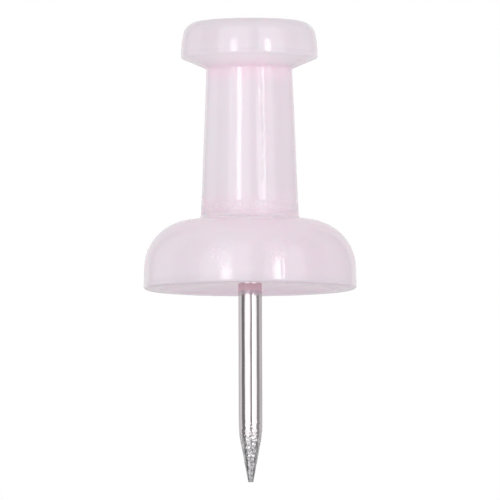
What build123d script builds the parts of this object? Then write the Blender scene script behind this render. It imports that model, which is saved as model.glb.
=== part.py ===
from build123d import *
import os
from math import radians, tan

# Push pin: a spool-shaped plastic head moulded round a pointed steel pin. All lengths are in millimetres.
# The origin is on the axis, in the plane of the ring that seats on the board. +Z runs up to the cap and the pin
# points down.

# Flange of the head, which seats on the board
flange_diameter = 10.65
flange_height = 3.52
flange_draft = 2.0  # degrees that the side leans in
flange_top_slope = 6.0  # degrees that the top falls from the neck outwards
flange_shoulder_radius = 2.4
seat_edge_radius = 0.22
seat_ring_width = 0.55  # flat ring round the dished underside
dish_depth = 0.45
dish_land_diameter = 2.4  # flat land round the pin at the top of the dish

# Waisted neck, where the fingers grip
neck_foot_diameter = 4.9
neck_top_diameter = 4.3
neck_length = 7.5
neck_foot_fillet = 0.25
neck_top_fillet = 0.12

# Cap, which the thumb presses
cap_diameter = 6.85
cap_flare_height = 0.6
cap_rim_height = 1.76
cap_draft = 6.0  # degrees that the rim leans in
cap_rim_radius = 0.15
cap_edge_radius = 0.8

# Steel pin, with its free length below the seat ring and its ringed shank inside the head
pin_diameter = 1.2
pin_free_length = 9.62
point_length = 2.4
point_tip_diameter = 0.27
point_blend_radius = 4.0
shank_length = 8.55
shank_ring_count = 15
shank_ring_depth = 0.1

# The shoulder's rounding and the fillet at the neck's foot take at most this share of the ledge between them
ledge_share = 0.95

os.makedirs("parts", exist_ok=True)


def slope(degrees):
    """Rise over run of a face that leans by this many degrees."""
    return tan(radians(degrees))


def round_corner(sketch, corner, radius):
    """Rounds the corner of a profile that lies at the point given."""
    fillet(sketch.vertices().sort_by_distance(corner)[0], radius)


# Steel pin
pin_radius = pin_diameter / 2
ring_pitch = shank_length / shank_ring_count
point_top = -pin_free_length + point_length
ring_points = []
for ring in range(shank_ring_count):
    ring_points.append((pin_radius - shank_ring_depth, dish_depth + (ring + 0.5) * ring_pitch))
    ring_points.append((pin_radius, dish_depth + (ring + 1) * ring_pitch))

with BuildPart() as steel_pin:
    with BuildSketch(Plane.XZ) as pin_profile:
        with BuildLine():
            Polyline(
                (0, -pin_free_length),
                (point_tip_diameter / 2, -pin_free_length),
                (pin_radius, point_top),
                (pin_radius, dish_depth),
                *ring_points,
                (0, dish_depth + shank_length),
                close=True,
            )
        make_face()
        round_corner(pin_profile, (pin_radius, point_top), point_blend_radius)
    revolve(axis=Axis.Z)
steel_pin.part.label = "steel_pin"
export_step(steel_pin.part, "parts/steel_pin.step")

# Moulded head
flange_radius = flange_diameter / 2
seat_edge_reach = seat_edge_radius / tan(radians(90 - flange_draft) / 2)
dish_radius = flange_radius - seat_edge_reach - seat_ring_width
land_radius = dish_land_diameter / 2
neck_foot_radius = neck_foot_diameter / 2
neck_top_radius = neck_top_diameter / 2
cap_radius = cap_diameter / 2
neck_top = flange_height + neck_length
cap_rim = neck_top + cap_flare_height
cap_top = cap_rim + cap_rim_height
cap_top_radius = cap_radius - cap_rim_height * slope(cap_draft)

# The flange's leaning side and sloping top meet at the shoulder, which is then rounded
side_lean = slope(flange_draft)
top_fall = slope(flange_top_slope)
unleaned_radius = flange_radius - side_lean * (flange_height + neck_foot_radius * top_fall)
shoulder_corner_radius = unleaned_radius / (1 - side_lean * top_fall)
ledge_width = shoulder_corner_radius - neck_foot_radius
shoulder_height = flange_height - ledge_width * top_fall
half_turn = radians(90 - flange_draft - flange_top_slope) / 2
shoulder_limit = (ledge_share * ledge_width - neck_foot_fillet) / tan(half_turn)
shoulder_radius = min(flange_shoulder_radius, shoulder_limit)

with BuildPart() as moulded_head:
    with BuildSketch(Plane.XZ) as head_profile:
        with BuildLine():
            TangentArc((land_radius, dish_depth), (dish_radius, 0), tangent=(1, 0))
            Polyline(
                (dish_radius, 0),
                (flange_radius, 0),
                (shoulder_corner_radius, shoulder_height),
                (neck_foot_radius, flange_height),
                (neck_top_radius, neck_top),
                (cap_radius, cap_rim),
                (cap_top_radius, cap_top),
                (0, cap_top),
                (0, dish_depth),
                (land_radius, dish_depth),
            )
        make_face()
        round_corner(head_profile, (flange_radius, 0), seat_edge_radius)
        round_corner(head_profile, (neck_foot_radius, flange_height), neck_foot_fillet)
        round_corner(head_profile, (shoulder_corner_radius, shoulder_height), shoulder_radius)
        round_corner(head_profile, (neck_top_radius, neck_top), neck_top_fillet)
        round_corner(head_profile, (cap_radius, cap_rim), cap_rim_radius)
        round_corner(head_profile, (cap_top_radius, cap_top), cap_edge_radius)
    revolve(axis=Axis.Z)
    # The plastic flows round the shank, so its cavity is the shank's own shape
    add(steel_pin.part, mode=Mode.SUBTRACT)
moulded_head.part.label = "moulded_head"
export_step(moulded_head.part, "parts/moulded_head.step")
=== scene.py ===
import math

import bpy
import numpy as np
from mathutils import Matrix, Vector, noise


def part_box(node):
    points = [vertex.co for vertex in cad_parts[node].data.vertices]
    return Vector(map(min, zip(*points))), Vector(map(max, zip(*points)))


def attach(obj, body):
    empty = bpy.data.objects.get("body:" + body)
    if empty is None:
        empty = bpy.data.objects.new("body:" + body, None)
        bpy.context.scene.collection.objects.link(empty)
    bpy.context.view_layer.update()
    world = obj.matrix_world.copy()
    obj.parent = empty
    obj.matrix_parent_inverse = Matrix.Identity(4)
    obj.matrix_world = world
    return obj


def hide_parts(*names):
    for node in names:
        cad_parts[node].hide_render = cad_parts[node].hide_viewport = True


# A push pin's looks: the moulded pink head and the drawn steel pin, turned round the frame's Z axis.
# Lengths are in metres. The camera stands on the -Y side, and an azimuth of 0 faces it.
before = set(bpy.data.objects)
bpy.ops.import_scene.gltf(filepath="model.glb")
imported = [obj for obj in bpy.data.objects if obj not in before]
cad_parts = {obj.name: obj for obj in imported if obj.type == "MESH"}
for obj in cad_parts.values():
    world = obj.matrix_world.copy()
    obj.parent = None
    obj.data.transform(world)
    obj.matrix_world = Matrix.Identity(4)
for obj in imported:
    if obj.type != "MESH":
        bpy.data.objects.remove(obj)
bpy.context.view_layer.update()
MM = 0.001
WHITE = (1, 1, 1, 1)

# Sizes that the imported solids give
pin_low, pin_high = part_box("steel_pin")
head_low, head_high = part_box("moulded_head")
PIN_RADIUS = pin_high.x
PIN_TIP = pin_low.z
SHANK_TOP = pin_high.z
SEAT = head_low.z
CAP_TOP = head_high.z

# Corners of the head's outline as (radius, height), and how far each is rounded
NECK_FOOT_HEIGHT = 3.52 * MM
NECK_TOP_HEIGHT = 11.02 * MM
CAP_RIM_HEIGHT = 11.57 * MM
FLANGE_RADIUS = 5.325 * MM
SHOULDER = (5.212 * MM, 3.23 * MM)
NECK_FOOT = (2.45 * MM, NECK_FOOT_HEIGHT)
NECK_TOP = (2.15 * MM, NECK_TOP_HEIGHT)
CAP_RIM = (3.425 * MM, CAP_RIM_HEIGHT)
CAP_SIDE = (3.395 * MM, 12.3 * MM)
CAP_EDGE_RADIUS = 3.2 * MM
SEAT_ROUNDING = 0.17 * MM
SHOULDER_ROUNDING = 2.4 * MM
NECK_FOOT_ROUNDING = 0.25 * MM
NECK_TOP_ROUNDING = 0.12 * MM
CAP_RIM_ROUNDING = 0.15 * MM
CAP_SIDE_ROUNDING = 5.0 * MM
CAP_EDGE_ROUNDING = 0.8 * MM

# The shallow dish in the head's underside, inside the ring that seats on the board
DISH_RADIUS = 4.547 * MM
DISH_DEPTH = 0.45 * MM
DISH_LAND_RADIUS = 1.2 * MM
DISH_STEPS = 16

# The pin's point and its ringed shank
POINT_LENGTH = 2.4 * MM
POINT_TIP_RADIUS = 0.135 * MM
POINT_TIP_ROUNDING = 0.03 * MM
POINT_BLEND = 4.0 * MM
SHANK_RINGS = 15
SHANK_RING_DEPTH = 0.1 * MM

# Fineness of the meshes
ARC_STEP = math.radians(5)
FEWEST_ARC_STEPS = 2
HEAD_RUN = 0.1 * MM
SHAFT_RUN = 0.1 * MM
POINT_RUN = 0.03 * MM
HEAD_TURNS = 144
PIN_TURNS = 144
SHARP_ANGLE = math.radians(40)  # faces that meet at more than this keep a sharp edge

# Mould marks on the head: a raised line where the two halves of the mould meet, and a slight waviness
PARTING_AZIMUTH = math.radians(19.5)
PARTING_HEIGHT = 0.05 * MM
PARTING_WIDTH = 0.16 * MM
PARTING_PROUD = [(0.0 * MM, 1.6 * MM), (5.6 * MM, 10.9 * MM)]  # heights between which it stands out most
PARTING_WEAK = 0.15  # share of that elsewhere
PARTING_BLEND = 0.8 * MM
PARTING_UNEVEN = 0.6
PARTING_PATCH = 0.35 * MM
PARTING_WANDER = 0.12 * MM
PARTING_WANDER_LENGTH = 1.6 * MM
PARTING_SHIFT = 0.05 * MM  # to the left, on the flange
PARTING_SHIFT_TOP = 1.6 * MM
PARTING_REACH = math.radians(8)  # to each side of it the mesh is finer
PARTING_STEP = math.radians(0.4)
WAVE_HEIGHT = 0.007 * MM
WAVE_LENGTH = 1.8 * MM

# Tool marks on the pin: uneven drawing along its length, and peened dents on the ground point
DRAW_HEIGHT = 0.005 * MM
DRAW_LENGTH = 1.2 * MM
DENT_DEPTH = 0.027 * MM
DENT_SPACING = 0.11 * MM
DENT_START = -6.2 * MM
DENT_FULL = -7.6 * MM
DENT_FADE = -8.5 * MM
DENT_END = -9.5 * MM
DENT_LOSS = 0.65  # share of their depth that the dents lose towards the tip

# Values of a noise texture that a mix spreads over its whole range
WIDE_NOISE = (0.3, 0.7)
NARROW_NOISE = (0.35, 0.65)

# Colour of the plastic, which is clouded, with painted shade that deepens its right side
PALE_PLASTIC = (0.855, 0.78, 0.835, 1)
DEEP_TONE_AND_SHADE = (0.825, 0.725, 0.79, 1)
# Painted shade that deepens the right side, and its share
SHADED_SIDE_FADE = (-1.5 * MM, 2.5 * MM)
SHADED_SIDE_SHARE = 0.7
CLOUD_NOISE = {"W": 2, "Scale": 300, "Detail": 3}
CLOUD_SHARE = 0.3

# Painted light and shade on the plastic by place, each with the heights or radii between which it lies or
# fades
# Painted shade that darkens the whole cap
CAP_PAINTED_SHADE = (0.80, 0.73, 0.785, 1)
# Painted light that brightens the flare under the cap
FLARE_PAINTED_LIGHT = (0.87, 0.79, 0.84, 1)
FLARE_SPAN = (NECK_TOP_HEIGHT + 0.2 * MM, CAP_RIM_HEIGHT - 0.15 * MM)
FLARE_BLEND = 0.15 * MM
# Painted shade along the cap's rim and the flange's lowest edge
EDGE_PAINTED_SHADE = (0.77, 0.675, 0.75, 1)
RIM_SPAN = (CAP_RIM_HEIGHT + 0.05 * MM, CAP_RIM_HEIGHT + 0.2 * MM)
RIM_BLEND = 0.12 * MM
RIM_SHARE = 0.6
HEM_FADE = (SEAT + 0.1 * MM, SEAT + 0.6 * MM)
HEM_SHARE = 0.7
# Painted bounce light in the corners at the neck's foot and top
CORNER_PAINTED_LIGHT = (0.905, 0.775, 0.85, 1)
FOOT_SPAN = (NECK_FOOT_HEIGHT - 0.1 * MM, NECK_FOOT_HEIGHT + 0.4 * MM)
FOOT_BLEND = 1.4 * MM
THROAT_RISE = (NECK_TOP_HEIGHT - 1.0 * MM, NECK_TOP_HEIGHT - 0.2 * MM)
THROAT_FALL = (NECK_TOP_HEIGHT - 0.1 * MM, NECK_TOP_HEIGHT + 0.25 * MM)
# Painted light in the crease at the neck's foot
CREASE_PAINTED_LIGHT = (0.965, 0.84, 0.90, 1)
CREASE_SPAN = (NECK_FOOT_HEIGHT, NECK_FOOT_HEIGHT + 0.08 * MM)
CREASE_BLEND = 0.2 * MM
# Painted shade where the flange faces down
UNDERSIDE_PAINTED_SHADE = (0.86, 0.72, 0.81, 1)
UNDERSIDE_FADE = (SEAT + 0.6 * MM, SEAT + 0.8 * MM)
UNDERSIDE_FACING = (-0.75, -0.35)  # upward part of the face's direction
# Painted shade, darker still, at the flange's outer edge below
SEAT_EDGE_PAINTED_SHADE = (0.72, 0.61, 0.68, 1)
SEAT_EDGE_FADE = (FLANGE_RADIUS - 0.6 * MM, FLANGE_RADIUS - 0.2 * MM)
# Painted rose glow of light through the plastic round the pin
ROOT_PAINTED_GLOW = (0.93, 0.66, 0.74, 1)
ROOT_FADE_OUT = (1.0 * MM, 3.0 * MM)
ROOT_FADE_UP = (DISH_DEPTH, 1.5 * MM)

# Gloss of the plastic, worn beside the parting line, round the neck's foot and in two scuffs on the flange
HAZE_NOISE = {"Scale": 900, "Detail": 4}
GLOSS_ROUGHNESS = (0.1, 0.15)
WORN_ROUGHNESS = 0.115  # added to that
WORN_SEAM = (4.6 * MM, 9.2 * MM)  # heights
WORN_SIDES = (-9, 4)  # degrees of azimuth from the parting line
WORN_SIDE_BLEND = 5
WORN_FOOT_HEIGHT = 0.3 * MM
WORN_FOOT_BLEND = 0.3 * MM
SCUFF_PLACES = [(-1.4 * MM, -5.1 * MM, 1.65 * MM), (1.45 * MM, -5.1 * MM, 1.9 * MM)]
SCUFF_REACH = 1.15 * MM
SCUFF_CORE = 0.4  # share of the reach that is scuffed evenly

# Relief of the plastic: a moulded peel, pits and fine upright scratches, with depths in times the peel's
PEEL_NOISE = {"Scale": 2600, "Detail": 2}
PIT_NOISE = {"Scale": 7000, "Detail": 1}
PIT_DEPTH = 14.0
PITTED = (3.88 * MM, 4.15 * MM)  # heights
PITTED_BLEND = 0.2 * MM
SCUFF_PITS = 0.6  # share of the pits' depth in the scuffs
SCRATCH_SCALE = (5500, 5500, 400)
SCRATCH_NOISE = {"Scale": 1, "Detail": 2}
SCRATCH_DEPTH = 3.2
SCRATCH_WEAK = 0.3  # share of that above and below the neck
SCRATCHED = (8, 20)  # degrees of azimuth
SCRATCH_BLEND = 3
PLASTIC_BUMP = 0.5
PLASTIC_BUMP_DEPTH = 0.008 * MM

# Body of the plastic, which light enters
PLASTIC_IOR = 1.59
PLASTIC_MILKINESS = 0.8
PLASTIC_LIGHT_REACH = (1.0, 0.7, 0.8)  # shares for red, green and blue
PLASTIC_LIGHT_DEPTH = 2.2 * MM

# Steel: streaked along the drawn shaft, mottled at the ground point, with a painted pink reflection of the
# head next to it
STREAKED_STEEL = (0.635, 0.59, 0.605, 1)
BRIGHT_STEEL = (0.775, 0.72, 0.735, 1)
DULL_STEEL = (0.38, 0.375, 0.385, 1)
CLEAN_STEEL = (0.74, 0.72, 0.74, 1)
# Painted pink reflection of the head on the pin, and how far below the seat it reaches
PAINTED_REFLECTION_PINK = (0.79, 0.56, 0.63, 1)
PAINTED_REFLECTION_HEIGHT = 0.15 * MM
GROUND_START = -6.9 * MM
GROUND_FULL = -8.0 * MM
TIP_DARKNESS = 0.68
STREAK_SCALE = (40000, 40000, 700)
STREAK_NOISE = {"Scale": 1, "Detail": 3}
GRIT_NOISE = {"Scale": 14000, "Detail": 3}
MOTTLE_NOISE = {"Scale": 6500, "Detail": 1}
POLISHED_ROUGHNESS = (0.05, 0.12)
GROUND_ROUGHNESS = (0.08, 0.2)
STEEL_BUMP = 0.15
STEEL_BUMP_DEPTH = 0.004 * MM

# Floor, which fades out into the white room
FLOOR_RADIUS = 0.15
FLOOR_SIDES = 64
FLOOR_FADE_START = 0.008
FLOOR_FADE_END = 0.045
FLOOR_COLOUR = (0.87, 0.87, 0.88, 1)
FLOOR_LIFT = 0.25  # how much paler the camera sees it

# Room that the gloss mirrors, with panels as (brightness, brightness low down, left azimuth, right azimuth).
# Its angles are in degrees.
ROOM_WALL = 0.84
ROOM_GROUND = 0.62
ROOM_CEILING = 0.76
ROOM_PANELS = [
    (0.68, 0.58, 96, 128),
    (0.23, 0.36, -91, 10),
    (0.34, 0.42, 0, 95),
    (1.42, 1.04, -54, -1),
    (1.42, 0.66, 16.5, 62),
    (0.55, 0.5, -146, -132),
    (0.85, 0.55, -174, -146),
    (0.55, 0.5, 132, 146),
    (0.85, 0.55, 146, 174),
]
PANEL_EDGE = 2.5
PANEL_RISE = (-24, -8)  # elevations between which a panel goes over from low down to its own brightness
ROOM_BEHIND = 0.68  # low down behind the pin
BEHIND_AZIMUTH = (165, 172)
BEHIND_RISE = (-10, 0)
BEHIND_EDGE = 3
GROUND_FADE = (-80, -25)  # elevations, as in the next one
CEILING_FADE = (46, 54)

# Plain light that the room gives to everything but the gloss, a little stronger from below
PLAIN_RISE = (-40, 60)
PLAIN_LEVELS = (1.0, 0.655)

# Lamps as (name, azimuth, elevation, width, height, radiance), with the angles in degrees seen from the pin
LAMPS = [
    ("left_softbox", -26, 8, 14, 29, 4.1),
    ("right_softbox", 31.2, 8, 12, 26, 5.8),
]
LAMP_DISTANCE = 0.3

# A lamp's face, in shares of its width or height
LAMP_MIDDLE = 0.5
LAMP_SIDE_FADE = 0.22
LAMP_END_FADE = 0.28
LAMP_TOP_FADE = (0.5, 0.8)
LAMP_TOP_LEVELS = (1.1, 0.75)

# Camera, which looks up a little at the pin. The column and the row are pixels of the photograph.
PHOTO_SIDE = 500
PHOTO_SCALE = 0.04985 * MM  # metres to one pixel of the photograph
AXIS_COLUMN = 250.0
SEAT_ROW = 289.4
CAMERA_ELEVATION = math.radians(-4.0)
CAMERA_DISTANCE = 0.9
CAMERA_ROLL = math.radians(-0.2)
CAMERA_NEAREST = 0.1  # in camera distances, as the next one
CAMERA_FARTHEST = 10


def rounded_outline(corners):
    """Points along an outline of (radius, height, rounding) corners, each rounding being an arc."""
    points = []
    for index, (radius, height, rounding) in enumerate(corners):
        here = Vector((radius, height))
        if not rounding:
            points.append(here)
            continue
        before = (Vector(corners[index - 1][:2]) - here).normalized()
        after = (Vector(corners[index + 1][:2]) - here).normalized()
        half_angle = before.angle(after) / 2
        centre = here + (before + after).normalized() * (rounding / math.sin(half_angle))
        reach = rounding / math.tan(half_angle)
        start = here + before * reach - centre
        end = here + after * reach - centre
        turn = math.pi - 2 * half_angle
        steps = max(FEWEST_ARC_STEPS, math.ceil(turn / ARC_STEP))
        for step in range(steps + 1):
            share = step / steps
            swing = start * math.sin((1 - share) * turn) + end * math.sin(share * turn)
            points.append(centre + swing / math.sin(turn))
    return points


def fill_runs(points, longest):
    """The same outline with points added so that no straight run is longer than this."""
    filled = [points[0]]
    for start, end in zip(points[:-1], points[1:]):
        count = max(1, math.ceil((end - start).length / longest))
        for step in range(1, count + 1):
            filled.append(start.lerp(end, step / count))
    return filled


def dish_height(radius):
    """Height of the dish above the seat ring: a flat land round the pin, then an arc down to the ring."""
    width = DISH_RADIUS - DISH_LAND_RADIUS
    arc = (width ** 2 + DISH_DEPTH ** 2) / (2 * DISH_DEPTH)
    past_land = max(0, radius - DISH_LAND_RADIUS)
    return SEAT + DISH_DEPTH - arc + math.sqrt(arc ** 2 - past_land ** 2)


def dish_points():
    """Corners across the dish, from the pin out to the seat ring."""
    reach = DISH_RADIUS - PIN_RADIUS
    radii = [PIN_RADIUS + reach * step / DISH_STEPS for step in range(DISH_STEPS + 1)]
    return [(radius, dish_height(radius), 0) for radius in radii]


def shank_rings():
    """Corners of the rings rolled into the shank, from the dish up to its end."""
    start = SEAT + DISH_DEPTH
    pitch = (SHANK_TOP - start) / SHANK_RINGS
    corners = []
    for ring in range(SHANK_RINGS):
        corners.append((PIN_RADIUS - SHANK_RING_DEPTH, start + (ring + 0.5) * pitch, 0))
        corners.append((PIN_RADIUS, start + (ring + 1) * pitch, 0))
    return corners


def lathe(name, outline, angles, offset):
    """A closed mesh turned from an outline with both ends on the axis. Each point moves out by offset."""
    points = np.array([tuple(point) for point in outline])
    along = np.gradient(points, axis=0)
    normals = np.stack([along[:, 1], -along[:, 0]], axis=1)
    normals /= np.linalg.norm(normals, axis=1)[:, None]
    count = len(angles)
    vertices = [(0, 0, points[0, 1])]
    for (radius, height), (out, up) in zip(points[1:-1], normals[1:-1]):
        for angle in angles:
            moved = offset(angle, radius, height)
            reach = radius + moved * out
            vertices.append((reach * math.cos(angle), reach * math.sin(angle), height + moved * up))
    vertices.append((0, 0, points[-1, 1]))
    last = len(vertices) - 1
    top_ring = last - count
    rings = len(points) - 2
    faces = []
    for side in range(count):
        following = (side + 1) % count
        faces.append((0, 1 + following, 1 + side))
        for ring in range(rings - 1):
            low = 1 + ring * count
            high = low + count
            faces.append((low + side, low + following, high + following, high + side))
        faces.append((top_ring + side, top_ring + following, last))
    mesh = bpy.data.meshes.new(name)
    mesh.from_pydata(vertices, [], faces)
    mesh.polygons.foreach_set("use_smooth", [True] * len(faces))
    mesh.set_sharp_from_angle(angle=SHARP_ANGLE)
    piece = bpy.data.objects.new(name, mesh)
    bpy.context.scene.collection.objects.link(piece)
    return piece


def even_angles(count):
    """Angles spaced evenly all the way round."""
    return [2 * math.pi * turn / count for turn in range(count)]


def azimuth_angle(azimuth):
    """Angle round Z from +X of a direction that is this far to the right of the camera's side."""
    return azimuth - math.pi / 2


def head_angles():
    """Even angles round the head, with finer ones across the two parting lines."""
    angles = set(even_angles(HEAD_TURNS))
    for half in (0, math.pi):
        line = (azimuth_angle(PARTING_AZIMUTH) + half) % (2 * math.pi)
        steps = round(PARTING_REACH / PARTING_STEP)
        angles = {angle for angle in angles if abs(angle - line) > PARTING_REACH + PARTING_STEP}
        angles |= {line + step * PARTING_STEP for step in range(-steps, steps + 1)}
    return sorted(angles)


def smooth_step(value):
    """Runs smoothly from 0 to 1 as a value does."""
    share = min(1, max(0, value))
    return share * share * (3 - 2 * share)


def parting_strength(height):
    """How far the parting line stands out: most on the flange's side and along the neck, and unevenly."""
    proud = 0
    for low, high in PARTING_PROUD:
        risen = smooth_step((height - low) / PARTING_BLEND + 1)
        proud += risen * smooth_step((high - height) / PARTING_BLEND + 1)
    uneven = 1 - PARTING_UNEVEN * (1 - noise.noise(Vector((0, 0, height / PARTING_PATCH))))
    return uneven * (PARTING_WEAK + (1 - PARTING_WEAK) * proud)


def head_offset(angle, radius, height):
    """How far a point of the head's outside stands out: the parting line and the mould's waviness."""
    in_cavity = radius <= PIN_RADIUS
    in_dish = radius <= DISH_RADIUS and height <= SEAT + DISH_DEPTH
    on_flat_face = height <= SEAT or height >= CAP_TOP
    if in_cavity or in_dish or on_flat_face:
        return 0
    wander = PARTING_WANDER * noise.noise(Vector((0, 0, height / PARTING_WANDER_LENGTH)))
    shift = PARTING_SHIFT * smooth_step((PARTING_SHIFT_TOP - height) / PARTING_BLEND + 1)
    across = radius * math.sin(angle - azimuth_angle(PARTING_AZIMUTH)) - wander + shift
    ridge = PARTING_HEIGHT * parting_strength(height) * math.exp(-((across / PARTING_WIDTH) ** 2))
    place = Vector((radius * math.cos(angle), radius * math.sin(angle), height)) / WAVE_LENGTH
    wave = WAVE_HEIGHT * noise.noise(place)
    return ridge + wave - WAVE_HEIGHT


def make_head():
    """The moulded head, with the cavity that the shank fills."""
    cavity = [(0, SHANK_TOP, 0)] + shank_rings()[::-1] + [(PIN_RADIUS, SEAT + DISH_DEPTH, 0)]
    outside = [
        (FLANGE_RADIUS, SEAT, SEAT_ROUNDING),
        (*SHOULDER, SHOULDER_ROUNDING),
        (*NECK_FOOT, NECK_FOOT_ROUNDING),
        (*NECK_TOP, NECK_TOP_ROUNDING),
        (*CAP_RIM, CAP_RIM_ROUNDING),
        (*CAP_SIDE, CAP_SIDE_ROUNDING),
        (CAP_EDGE_RADIUS, CAP_TOP, CAP_EDGE_ROUNDING),
        (0, CAP_TOP, 0),
    ]
    outline = fill_runs(rounded_outline(cavity + dish_points() + outside), HEAD_RUN)
    head = lathe("spool_head", outline, head_angles(), head_offset)
    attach(head, "root")
    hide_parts("moulded_head")
    return head


def dent(place):
    """Depth of a peened dent at a place, from 0 between dents to 1 in the middle of one."""
    distances, _ = noise.voronoi(place / DENT_SPACING)
    return 1 - min(1, distances[0])


def pin_offset(angle, radius, height):
    """How far a point of the pin stands out: the drawing's unevenness, and the dents of the point."""
    if height >= dish_height(PIN_RADIUS) or radius < POINT_TIP_RADIUS:
        return 0
    place = Vector((radius * math.cos(angle), radius * math.sin(angle), height))
    stretched = Vector((place.x / PIN_RADIUS, place.y / PIN_RADIUS, place.z / DRAW_LENGTH))
    drawn = DRAW_HEIGHT * (noise.noise(stretched) - 1)
    begun = smooth_step((DENT_START - height) / (DENT_START - DENT_FULL))
    kept = 1 - DENT_LOSS * smooth_step((DENT_FADE - height) / (DENT_FADE - DENT_END))
    return drawn - begun * kept * DENT_DEPTH * dent(place)


def make_pin():
    """The steel pin from its blunt ground tip up to the end of its shank."""
    point = [
        (0, PIN_TIP, 0),
        (POINT_TIP_RADIUS, PIN_TIP, POINT_TIP_ROUNDING),
        (PIN_RADIUS, PIN_TIP + POINT_LENGTH, POINT_BLEND),
        (PIN_RADIUS, DENT_START, 0),
    ]
    shaft = [point[-1], (PIN_RADIUS, SEAT + DISH_DEPTH, 0), *shank_rings(), (0, SHANK_TOP, 0)]
    outline = fill_runs(rounded_outline(point), POINT_RUN)
    outline += fill_runs(rounded_outline(shaft), SHAFT_RUN)[1:]
    pin = lathe("drawn_pin", outline, even_angles(PIN_TURNS), pin_offset)
    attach(pin, "root")
    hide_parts("steel_pin")
    return pin


def add_node(tree, kind, settings=(), **inputs):
    """A new node with its settings made and its inputs set to values or linked to sockets.

    An input goes by its label with _ for each space, or by i and its number.
    """
    made = tree.nodes.new(kind)
    for name, value in dict(settings).items():
        setattr(made, name, value)
    for name, value in inputs.items():
        place = made.inputs[int(name[1:]) if name[1:].isdigit() else name.replace("_", " ")]
        if isinstance(value, bpy.types.NodeSocket):
            tree.links.new(value, place)
        else:
            place.default_value = value
    return made


def calc(tree, operation, first, second=0.0):
    """Output of a Math node."""
    return add_node(tree, "ShaderNodeMath", {"operation": operation}, i0=first, i1=second).outputs[0]


def map_range(tree, value, low, high, out_low, out_high, kind="SMOOTHSTEP"):
    """Output of a Map Range node."""
    settings = {"interpolation_type": kind}
    names = {"From_Min": low, "From_Max": high, "To_Min": out_low, "To_Max": out_high}
    return add_node(tree, "ShaderNodeMapRange", settings, Value=value, **names).outputs[0]


def mix_colour(tree, share, first, second):
    """Output of a colour Mix node."""
    return add_node(tree, "ShaderNodeMix", {"data_type": "RGBA"}, i0=share, i6=first, i7=second).outputs[2]


def mix_number(tree, share, first, second):
    """Output of a Mix node for plain numbers."""
    return add_node(tree, "ShaderNodeMix", {"data_type": "FLOAT"}, i0=share, i2=first, i3=second).outputs[0]


def band(tree, value, low, high, soft):
    """1 where a value lies between two limits, fading to 0 outside them."""
    risen = map_range(tree, value, low - soft, low, 0, 1)
    fallen = map_range(tree, value, high, high + soft, 1, 0)
    return calc(tree, "MULTIPLY", risen, fallen)


def split(tree, vector):
    """Outputs X, Y and Z of a vector."""
    return add_node(tree, "ShaderNodeSeparateXYZ", Vector=vector).outputs


def object_place(tree):
    """Output of the place on the object, in the frame."""
    return add_node(tree, "ShaderNodeTexCoord").outputs["Object"]


def vector_length(tree, vector):
    """Output of a vector's length."""
    return add_node(tree, "ShaderNodeVectorMath", {"operation": "LENGTH"}, i0=vector).outputs["Value"]


def azimuth_degrees(tree, direction):
    """How far to the right of the camera's side a direction points, in degrees."""
    parts = split(tree, direction)
    towards = calc(tree, "MULTIPLY", parts["Y"], -1)
    return calc(tree, "DEGREES", calc(tree, "ARCTAN2", parts["X"], towards))


def noise_texture(tree, place, inputs):
    """Output of a Noise Texture node, which has a fourth dimension where its inputs have a W."""
    settings = {"noise_dimensions": "4D" if "W" in inputs else "3D"}
    return add_node(tree, "ShaderNodeTexNoise", settings, Vector=place, **inputs).outputs[0]


def drawn_noise(tree, place, scale, inputs):
    """Output of a Noise Texture node that is scaled by another amount along each axis."""
    stretched = add_node(tree, "ShaderNodeMapping", Vector=place, Scale=scale).outputs[0]
    return noise_texture(tree, stretched, inputs)


def new_material(name):
    """A material, its node tree and its Principled shader."""
    material = bpy.data.materials.new(name)
    material.use_nodes = True
    return material, material.node_tree, material.node_tree.nodes["Principled BSDF"]


def add_bump(tree, shader, relief, strength, depth):
    """Gives a shader a relief."""
    bump = add_node(tree, "ShaderNodeBump", Height=relief, Strength=strength, Distance=depth)
    tree.links.new(bump.outputs[0], shader.inputs["Normal"])


def painted_edge_shade_places(tree, height):
    """Above 0 along the cap's rim and the flange's lowest edge, where shade is painted."""
    rim = calc(tree, "MULTIPLY", band(tree, height, *RIM_SPAN, RIM_BLEND), RIM_SHARE)
    hem = map_range(tree, height, *HEM_FADE, HEM_SHARE, 0)
    return calc(tree, "MAXIMUM", rim, hem)


def painted_corner_light_places(tree, height):
    """1 in the corners at the neck's two ends, where the light that gathers there is painted in."""
    foot = band(tree, height, *FOOT_SPAN, FOOT_BLEND)
    risen = map_range(tree, height, *THROAT_RISE, 0, 1)
    fallen = map_range(tree, height, *THROAT_FALL, 1, 0)
    return calc(tree, "MAXIMUM", foot, calc(tree, "MULTIPLY", risen, fallen))


def shaded_underside_places(tree, height):
    """1 where the flange faces down, where shade is painted."""
    low = map_range(tree, height, *UNDERSIDE_FADE, 1, 0)
    facing = add_node(tree, "ShaderNodeNewGeometry").outputs["Normal"]
    down = map_range(tree, split(tree, facing)["Z"], *UNDERSIDE_FACING, 1, 0)
    return calc(tree, "MULTIPLY", low, down)


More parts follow.
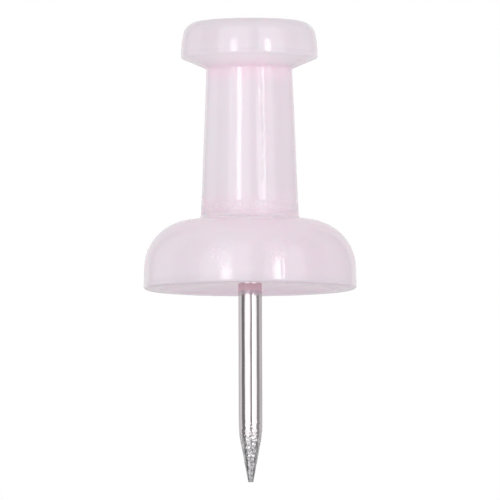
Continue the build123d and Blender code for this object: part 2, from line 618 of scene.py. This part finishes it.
def paint_light_and_shade(tree, place, colour):
    """Paints light and shade into a colour: painted shade over the cap, at edges and under the flange,
    painted light in corners, the crease and under the cap, and a painted rose glow at the pin.
    """
    parts = split(tree, place)
    height = parts["Z"]
    flat = add_node(tree, "ShaderNodeCombineXYZ", X=parts["X"], Y=parts["Y"]).outputs[0]
    radius = vector_length(tree, flat)
    underside = shaded_underside_places(tree, height)
    near_edge = map_range(tree, radius, *SEAT_EDGE_FADE, 0, 1)
    near_pin = map_range(tree, radius, *ROOT_FADE_OUT, 1, 0)
    near_dish = map_range(tree, height, *ROOT_FADE_UP, 1, 0)
    # Painted shade on the cap, its edges and underside; painted light on the flare, corners and crease; a
    # painted rose glow at the pin
    painted_light_and_shade = [
        (map_range(tree, height, NECK_TOP_HEIGHT, CAP_RIM_HEIGHT, 0, 1), CAP_PAINTED_SHADE),
        (band(tree, height, *FLARE_SPAN, FLARE_BLEND), FLARE_PAINTED_LIGHT),
        (painted_edge_shade_places(tree, height), EDGE_PAINTED_SHADE),
        (painted_corner_light_places(tree, height), CORNER_PAINTED_LIGHT),
        (band(tree, height, *CREASE_SPAN, CREASE_BLEND), CREASE_PAINTED_LIGHT),
        (underside, UNDERSIDE_PAINTED_SHADE),
        (calc(tree, "MULTIPLY", underside, near_edge), SEAT_EDGE_PAINTED_SHADE),
        (calc(tree, "MULTIPLY", near_pin, near_dish), ROOT_PAINTED_GLOW),
    ]
    for share, painted_colour in painted_light_and_shade:
        colour = mix_colour(tree, share, colour, painted_colour)
    return colour


def plastic_colour(tree, place):
    """Clouded pink with painted shade deepening the right side, and painted light and shade by place."""
    # Painted shade: the right side is mixed towards the deep colour
    side = map_range(tree, split(tree, place)["X"], *SHADED_SIDE_FADE, 0, SHADED_SIDE_SHARE)
    cloud = map_range(tree, noise_texture(tree, place, CLOUD_NOISE), *NARROW_NOISE, 0, CLOUD_SHARE)
    colour = mix_colour(tree, calc(tree, "ADD", side, cloud), PALE_PLASTIC, DEEP_TONE_AND_SHADE)
    return paint_light_and_shade(tree, place, colour)


def scuffed_places(tree, place):
    """1 in the scuffs on the flange, fading to 0 round them."""
    scuffs = 0.0
    for middle in SCUFF_PLACES:
        away = add_node(tree, "ShaderNodeVectorMath", {"operation": "DISTANCE"}, i0=place, i1=middle)
        scuff = map_range(tree, away.outputs["Value"], SCUFF_CORE * SCUFF_REACH, SCUFF_REACH, 1, 0)
        scuffs = calc(tree, "MAXIMUM", scuff, scuffs)
    return scuffs


def worn_places(tree, place):
    """1 where the gloss is worn: beside the parting line on the neck, round its foot, and in the scuffs."""
    height = split(tree, place)["Z"]
    left, right = [math.degrees(PARTING_AZIMUTH) + side for side in WORN_SIDES]
    beside = band(tree, azimuth_degrees(tree, place), left, right, WORN_SIDE_BLEND)
    seam = calc(tree, "MULTIPLY", beside, band(tree, height, *WORN_SEAM, PARTING_BLEND))
    foot = band(tree, height, NECK_FOOT_HEIGHT, NECK_FOOT_HEIGHT + WORN_FOOT_HEIGHT, WORN_FOOT_BLEND)
    return calc(tree, "MAXIMUM", calc(tree, "MAXIMUM", seam, scuffed_places(tree, place)), foot)


def plastic_roughness(tree, place):
    """Roughness of the moulded gloss, which is hazy and worn in places."""
    gloss = map_range(tree, noise_texture(tree, place, HAZE_NOISE), *WIDE_NOISE, *GLOSS_ROUGHNESS)
    return calc(tree, "ADD", gloss, calc(tree, "MULTIPLY", worn_places(tree, place), WORN_ROUGHNESS))


def scratched_places(tree, place):
    """Relief of fine upright scratches beside the parting line, weaker off the neck."""
    lines = drawn_noise(tree, place, SCRATCH_SCALE, SCRATCH_NOISE)
    beside = band(tree, azimuth_degrees(tree, place), *SCRATCHED, SCRATCH_BLEND)
    on_neck = band(tree, split(tree, place)["Z"], NECK_FOOT_HEIGHT, NECK_TOP_HEIGHT, PARTING_BLEND)
    strength = map_range(tree, on_neck, 0, 1, SCRATCH_WEAK, 1, "LINEAR")
    return calc(tree, "MULTIPLY", lines, calc(tree, "MULTIPLY", beside, strength))


def plastic_relief(tree, place):
    """Relief of the plastic: peel all over, pits round the neck's foot and in the scuffs, and scratches."""
    peel = noise_texture(tree, place, PEEL_NOISE)
    pits = noise_texture(tree, place, PIT_NOISE)
    scuff = calc(tree, "MULTIPLY", scuffed_places(tree, place), SCUFF_PITS)
    rough_places = calc(tree, "MAXIMUM", band(tree, split(tree, place)["Z"], *PITTED, PITTED_BLEND), scuff)
    pitted = calc(tree, "MULTIPLY", calc(tree, "MULTIPLY", pits, rough_places), PIT_DEPTH)
    scratches = calc(tree, "MULTIPLY", scratched_places(tree, place), SCRATCH_DEPTH)
    return calc(tree, "ADD", calc(tree, "ADD", peel, pitted), scratches)


def plastic_material():
    """Milky, slightly see-into pink plastic with a moulded gloss."""
    material, tree, shader = new_material("milky_pink_plastic")
    place = object_place(tree)
    tree.links.new(plastic_colour(tree, place), shader.inputs["Base Color"])
    tree.links.new(plastic_roughness(tree, place), shader.inputs["Roughness"])
    add_bump(tree, shader, plastic_relief(tree, place), PLASTIC_BUMP, PLASTIC_BUMP_DEPTH)
    shader.inputs["IOR"].default_value = PLASTIC_IOR
    shader.inputs["Subsurface Weight"].default_value = PLASTIC_MILKINESS
    shader.inputs["Subsurface Radius"].default_value = PLASTIC_LIGHT_REACH
    shader.inputs["Subsurface Scale"].default_value = PLASTIC_LIGHT_DEPTH
    return material


def steel_material():
    """Bright drawn steel, duller at the ground point, with a painted pink reflection of the head where it
    leaves it.
    """
    material, tree, shader = new_material("drawn_steel")
    place = object_place(tree)
    height = split(tree, place)["Z"]
    ground = map_range(tree, height, GROUND_START, GROUND_FULL, 0, 1)
    # Painted pink reflection of the head, not metallic, where the pin leaves it
    painted_reflection = map_range(tree, height, SEAT - PAINTED_REFLECTION_HEIGHT, SEAT, 0, 1)
    tip = map_range(tree, height, DENT_FULL, DENT_END, 0, TIP_DARKNESS)
    streaks = drawn_noise(tree, place, STREAK_SCALE, STREAK_NOISE)
    grit = noise_texture(tree, place, GRIT_NOISE)
    mottle = noise_texture(tree, place, MOTTLE_NOISE)
    point = mix_colour(tree, map_range(tree, mottle, *NARROW_NOISE, 0, 1), DULL_STEEL, CLEAN_STEEL)
    point = mix_colour(tree, tip, point, DULL_STEEL)
    shaft = mix_colour(tree, map_range(tree, streaks, *WIDE_NOISE, 0, 1), STREAKED_STEEL, BRIGHT_STEEL)
    metal = mix_colour(tree, ground, shaft, point)
    tree.links.new(mix_colour(tree, painted_reflection, metal, PAINTED_REFLECTION_PINK), shader.inputs["Base Color"])
    polished = map_range(tree, streaks, *WIDE_NOISE, *POLISHED_ROUGHNESS)
    rough = map_range(tree, grit, *WIDE_NOISE, *GROUND_ROUGHNESS)
    tree.links.new(mix_number(tree, ground, polished, rough), shader.inputs["Roughness"])
    add_bump(tree, shader, mix_number(tree, ground, streaks, grit), STEEL_BUMP, STEEL_BUMP_DEPTH)
    tree.links.new(calc(tree, "SUBTRACT", 1.0, painted_reflection), shader.inputs["Metallic"])
    return material


def floor_material():
    """Pale floor that fades out with distance. From below and in reflections it isn't there."""
    material, tree, shader = new_material("pale_floor")
    path = add_node(tree, "ShaderNodeLightPath").outputs
    lift = calc(tree, "MULTIPLY", path["Is Camera Ray"], FLOOR_LIFT)
    shader.inputs["Base Color"].default_value = FLOOR_COLOUR
    shader.inputs["Specular IOR Level"].default_value = 0
    shader.inputs["Emission Color"].default_value = WHITE
    tree.links.new(lift, shader.inputs["Emission Strength"])
    distance = vector_length(tree, object_place(tree))
    faded = map_range(tree, distance, FLOOR_FADE_START, FLOOR_FADE_END, 0, 1)
    below = add_node(tree, "ShaderNodeNewGeometry").outputs["Backfacing"]
    clear = add_node(tree, "ShaderNodeBsdfTransparent").outputs[0]
    share = calc(tree, "MAXIMUM", calc(tree, "MAXIMUM", faded, below), path["Is Glossy Ray"])
    shown = add_node(tree, "ShaderNodeMixShader", i0=share, i1=shader.outputs[0], i2=clear)
    tree.links.new(shown.outputs[0], tree.nodes["Material Output"].inputs[0])
    return material


def make_floor():
    """A round floor under the pin's tip."""
    mesh = bpy.data.meshes.new("floor")
    ring = even_angles(FLOOR_SIDES)
    rim = [(FLOOR_RADIUS * math.cos(turn), FLOOR_RADIUS * math.sin(turn), 0) for turn in ring]
    mesh.from_pydata(rim, [], [tuple(range(FLOOR_SIDES))])
    mesh.materials.append(floor_material())
    floor = bpy.data.objects.new("floor", mesh)
    floor.location.z = PIN_TIP
    bpy.context.scene.collection.objects.link(floor)


def mirrored_level(tree, azimuth, elevation):
    """Brightness of the room in the gloss: panels with gaps between them, an even ground and a ceiling."""
    level = ROOM_WALL
    for high, low, left, right in ROOM_PANELS:
        panel = map_range(tree, elevation, *PANEL_RISE, low, high)
        level = mix_number(tree, band(tree, azimuth, left, right, PANEL_EDGE), level, panel)
    turned = map_range(tree, calc(tree, "ABSOLUTE", azimuth), *BEHIND_AZIMUTH, 0, 1)
    behind = calc(tree, "MULTIPLY", turned, band(tree, elevation, *BEHIND_RISE, BEHIND_EDGE))
    level = mix_number(tree, behind, level, ROOM_BEHIND)
    above_ground = map_range(tree, elevation, *GROUND_FADE, 0, 1)
    below_ceiling = map_range(tree, elevation, *CEILING_FADE, 1, 0)
    level = mix_number(tree, above_ground, ROOM_GROUND, level)
    return mix_number(tree, below_ceiling, ROOM_CEILING, level)


def make_room():
    """A light tent that the gloss mirrors. The camera sees white, and the rest gets plain light."""
    world = bpy.data.worlds.new("light_tent")
    world.use_nodes = True
    bpy.context.scene.world = world
    tree = world.node_tree
    direction = add_node(tree, "ShaderNodeTexCoord").outputs["Generated"]
    elevation = calc(tree, "DEGREES", calc(tree, "ARCSINE", split(tree, direction)["Z"]))
    level = mirrored_level(tree, azimuth_degrees(tree, direction), elevation)
    plain = map_range(tree, elevation, *PLAIN_RISE, *PLAIN_LEVELS)
    path = add_node(tree, "ShaderNodeLightPath").outputs
    mirrored = calc(tree, "MAXIMUM", path["Is Glossy Ray"], path["Is Transmission Ray"])
    strength = mix_number(tree, path["Is Camera Ray"], mix_number(tree, mirrored, plain, level), 1.0)
    background = tree.nodes["Background"]
    background.inputs["Color"].default_value = WHITE
    tree.links.new(strength, background.inputs["Strength"])


def soften_lamp(lamp):
    """Makes a lamp's face fade out towards its edges, and dims its upper part."""
    lamp.use_nodes = True
    tree = lamp.node_tree
    parts = split(tree, add_node(tree, "ShaderNodeNewGeometry").outputs["Parametric"])
    from_side = calc(tree, "PINGPONG", parts["X"], LAMP_MIDDLE)
    from_end = calc(tree, "PINGPONG", parts["Y"], LAMP_MIDDLE)
    sides = map_range(tree, from_side, 0, LAMP_SIDE_FADE, 0, 1)
    ends = map_range(tree, from_end, 0, LAMP_END_FADE, 0, 1)
    face = calc(tree, "MULTIPLY", sides, ends)
    level = map_range(tree, parts["Y"], *LAMP_TOP_FADE, *LAMP_TOP_LEVELS)
    tree.links.new(calc(tree, "MULTIPLY", face, level), tree.nodes["Emission"].inputs["Strength"])


def softbox(name, azimuth, elevation, width, height, radiance):
    """A lamp that the gloss shows as a bright strip. Its place and sizes are angles seen from the pin."""
    lamp = bpy.data.lights.new(name, "AREA")
    lamp.shape = "RECTANGLE"
    lamp.size = 2 * LAMP_DISTANCE * math.tan(math.radians(width) / 2)
    lamp.size_y = 2 * LAMP_DISTANCE * math.tan(math.radians(height) / 2)
    lamp.energy = radiance * math.pi * lamp.size * lamp.size_y
    soften_lamp(lamp)
    box = bpy.data.objects.new(name, lamp)
    turn = math.radians(azimuth)
    rise = math.radians(elevation)
    away = Vector((math.sin(turn) * math.cos(rise), -math.cos(turn) * math.cos(rise), math.sin(rise)))
    box.location = away * LAMP_DISTANCE
    box.rotation_euler = away.to_track_quat("Z", "Y").to_euler()
    box.visible_camera = False
    bpy.context.scene.collection.objects.link(box)


def make_camera():
    """A long lens a little below the pin, framed as the photograph is."""
    data = bpy.data.cameras.new("camera")
    camera = bpy.data.objects.new("camera", data)
    side = PHOTO_SIDE * PHOTO_SCALE
    data.lens = data.sensor_width * CAMERA_DISTANCE / side
    data.clip_start = CAMERA_NEAREST * CAMERA_DISTANCE
    data.clip_end = CAMERA_FARTHEST * CAMERA_DISTANCE
    right = (PHOTO_SIDE / 2 - AXIS_COLUMN) * PHOTO_SCALE
    up = (SEAT_ROW - PHOTO_SIDE / 2) * PHOTO_SCALE / math.cos(CAMERA_ELEVATION)
    aim = Vector((right, 0, SEAT + up))
    back = Vector((0, -math.cos(CAMERA_ELEVATION), math.sin(CAMERA_ELEVATION)))
    camera.location = aim + back * CAMERA_DISTANCE
    camera.rotation_euler = (-back).to_track_quat("-Z", "Y").to_euler()
    camera.rotation_euler.rotate_axis("Z", CAMERA_ROLL)
    bpy.context.scene.collection.objects.link(camera)
    bpy.context.scene.camera = camera


make_head().data.materials.append(plastic_material())
make_pin().data.materials.append(steel_material())
make_floor()
make_room()
for lamp in LAMPS:
    softbox(*lamp)
make_camera()
bpy.context.scene.view_settings.view_transform = "Standard"
